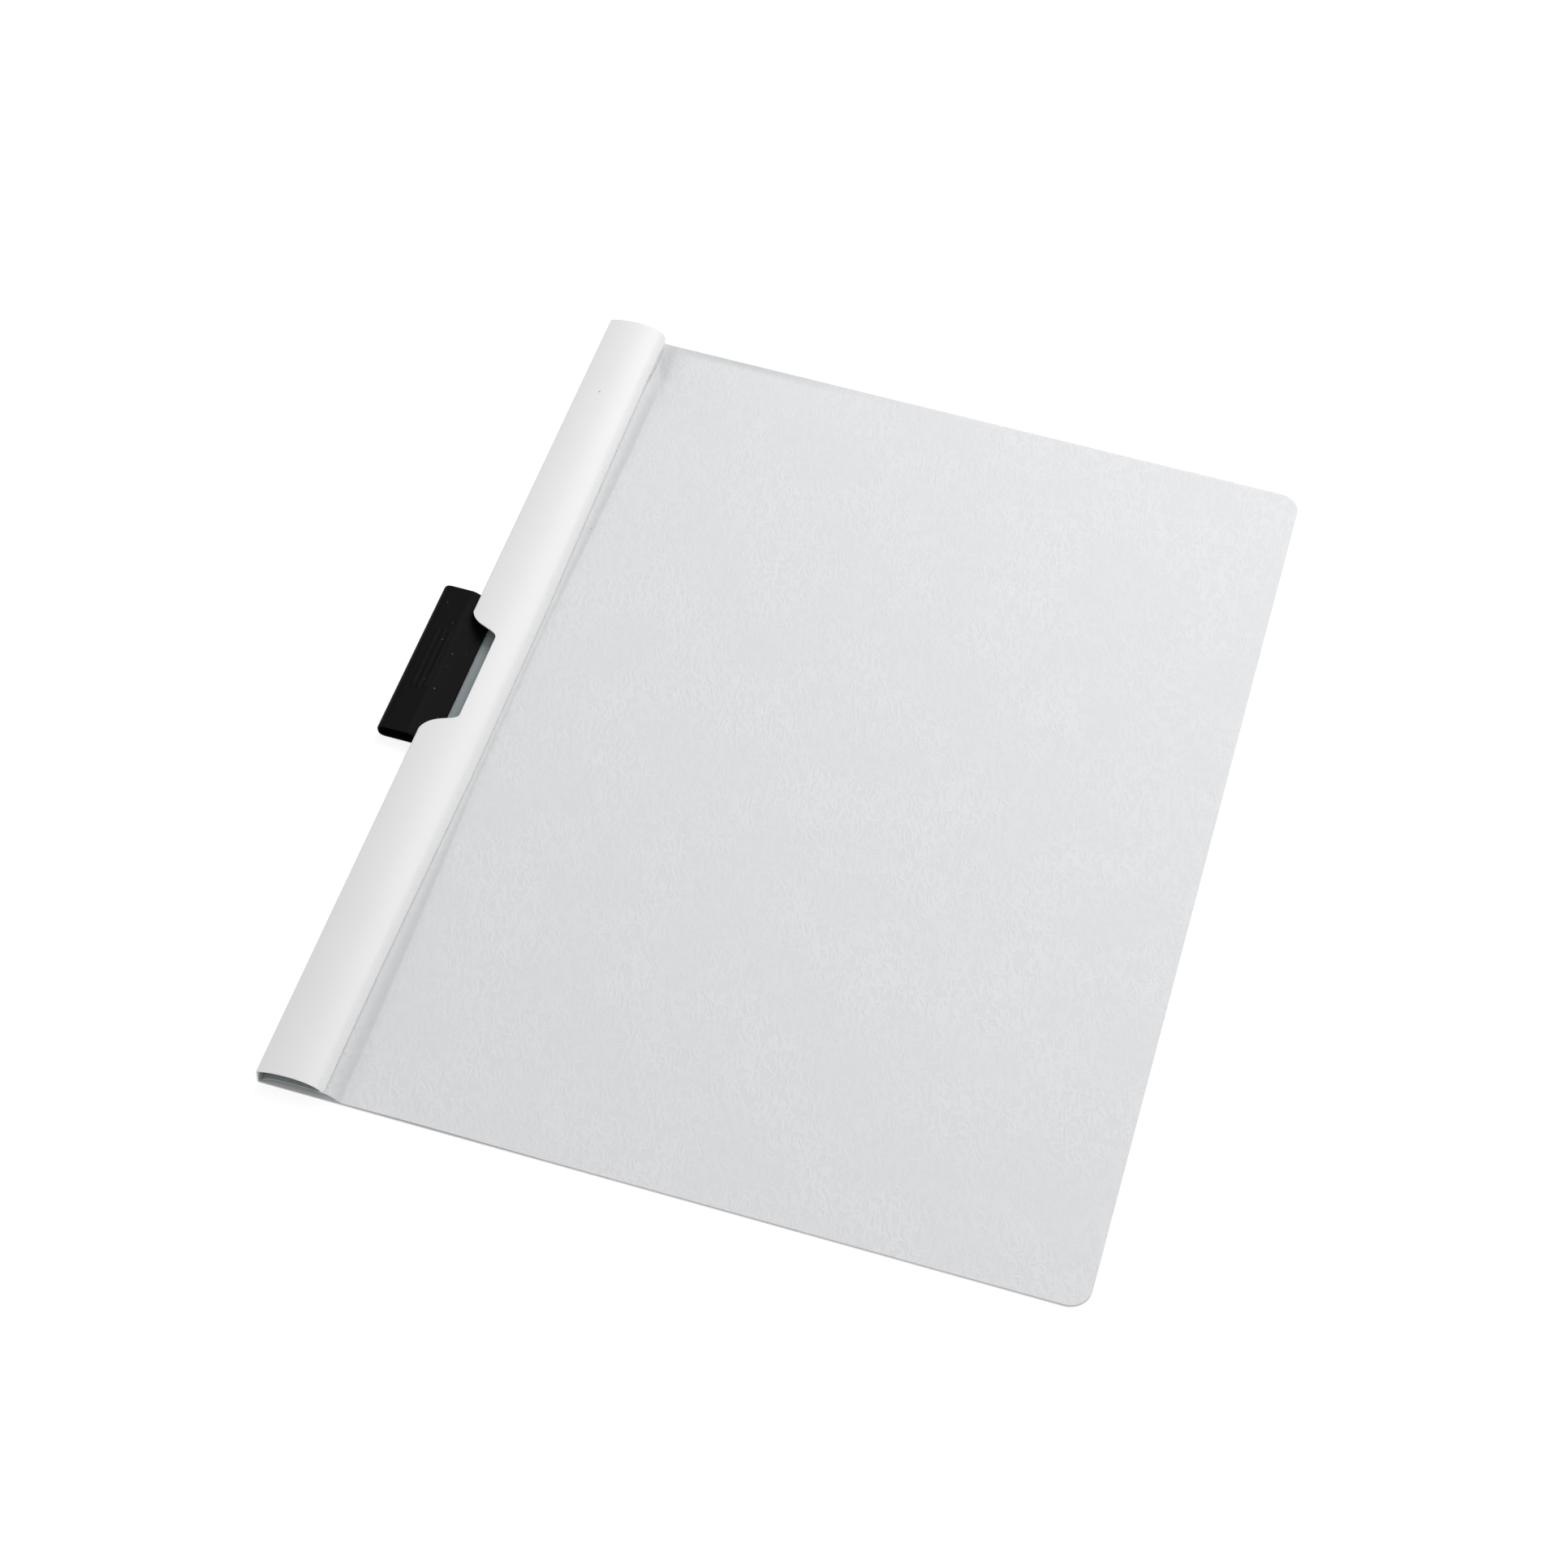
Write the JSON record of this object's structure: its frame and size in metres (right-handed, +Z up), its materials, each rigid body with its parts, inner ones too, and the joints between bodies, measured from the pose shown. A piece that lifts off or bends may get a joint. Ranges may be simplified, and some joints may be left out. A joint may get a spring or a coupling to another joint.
{
  "type": "clip folder",
  "caption": "White A4 plastic clip folder with a translucent grained front cover, a folded binding strip with a thumb notch, and a black sliding spring clip.",
  "frame": {"origin": "centre of the back cover's underside", "axes": "+X from the spine to the fore edge, +Y from the foot to the head along the spine, +Z up out of the front cover"},
  "size_m": [0.242, 0.31, 0.0068],
  "materials": {
    "white_film": "smooth satin white polypropylene film",
    "grained_film": "translucent frosted film with a fine leather-like grain",
    "clip_black": "semi-gloss black coated spring steel"
  },
  "bodies": {
    "folder": {"back_cover": "white_film", "front_cover_margin": "grained_film"},
    "front": {"front_cover": "grained_film"},
    "clip": {"clip": "clip_black"}
  },
  "joints": [
    {"name": "front_cover_hinge", "type": "hinge", "parent": "folder", "child": "front", "pos_m": [-0.0955, 0, 0.0034], "axis": [0, -1, 0], "range_deg": [0, 165]},
    {"name": "clip_slide", "type": "slide", "parent": "folder", "child": "clip", "axis": [1, 0, 0], "range_m": [0, 0.0095]}
  ]
}
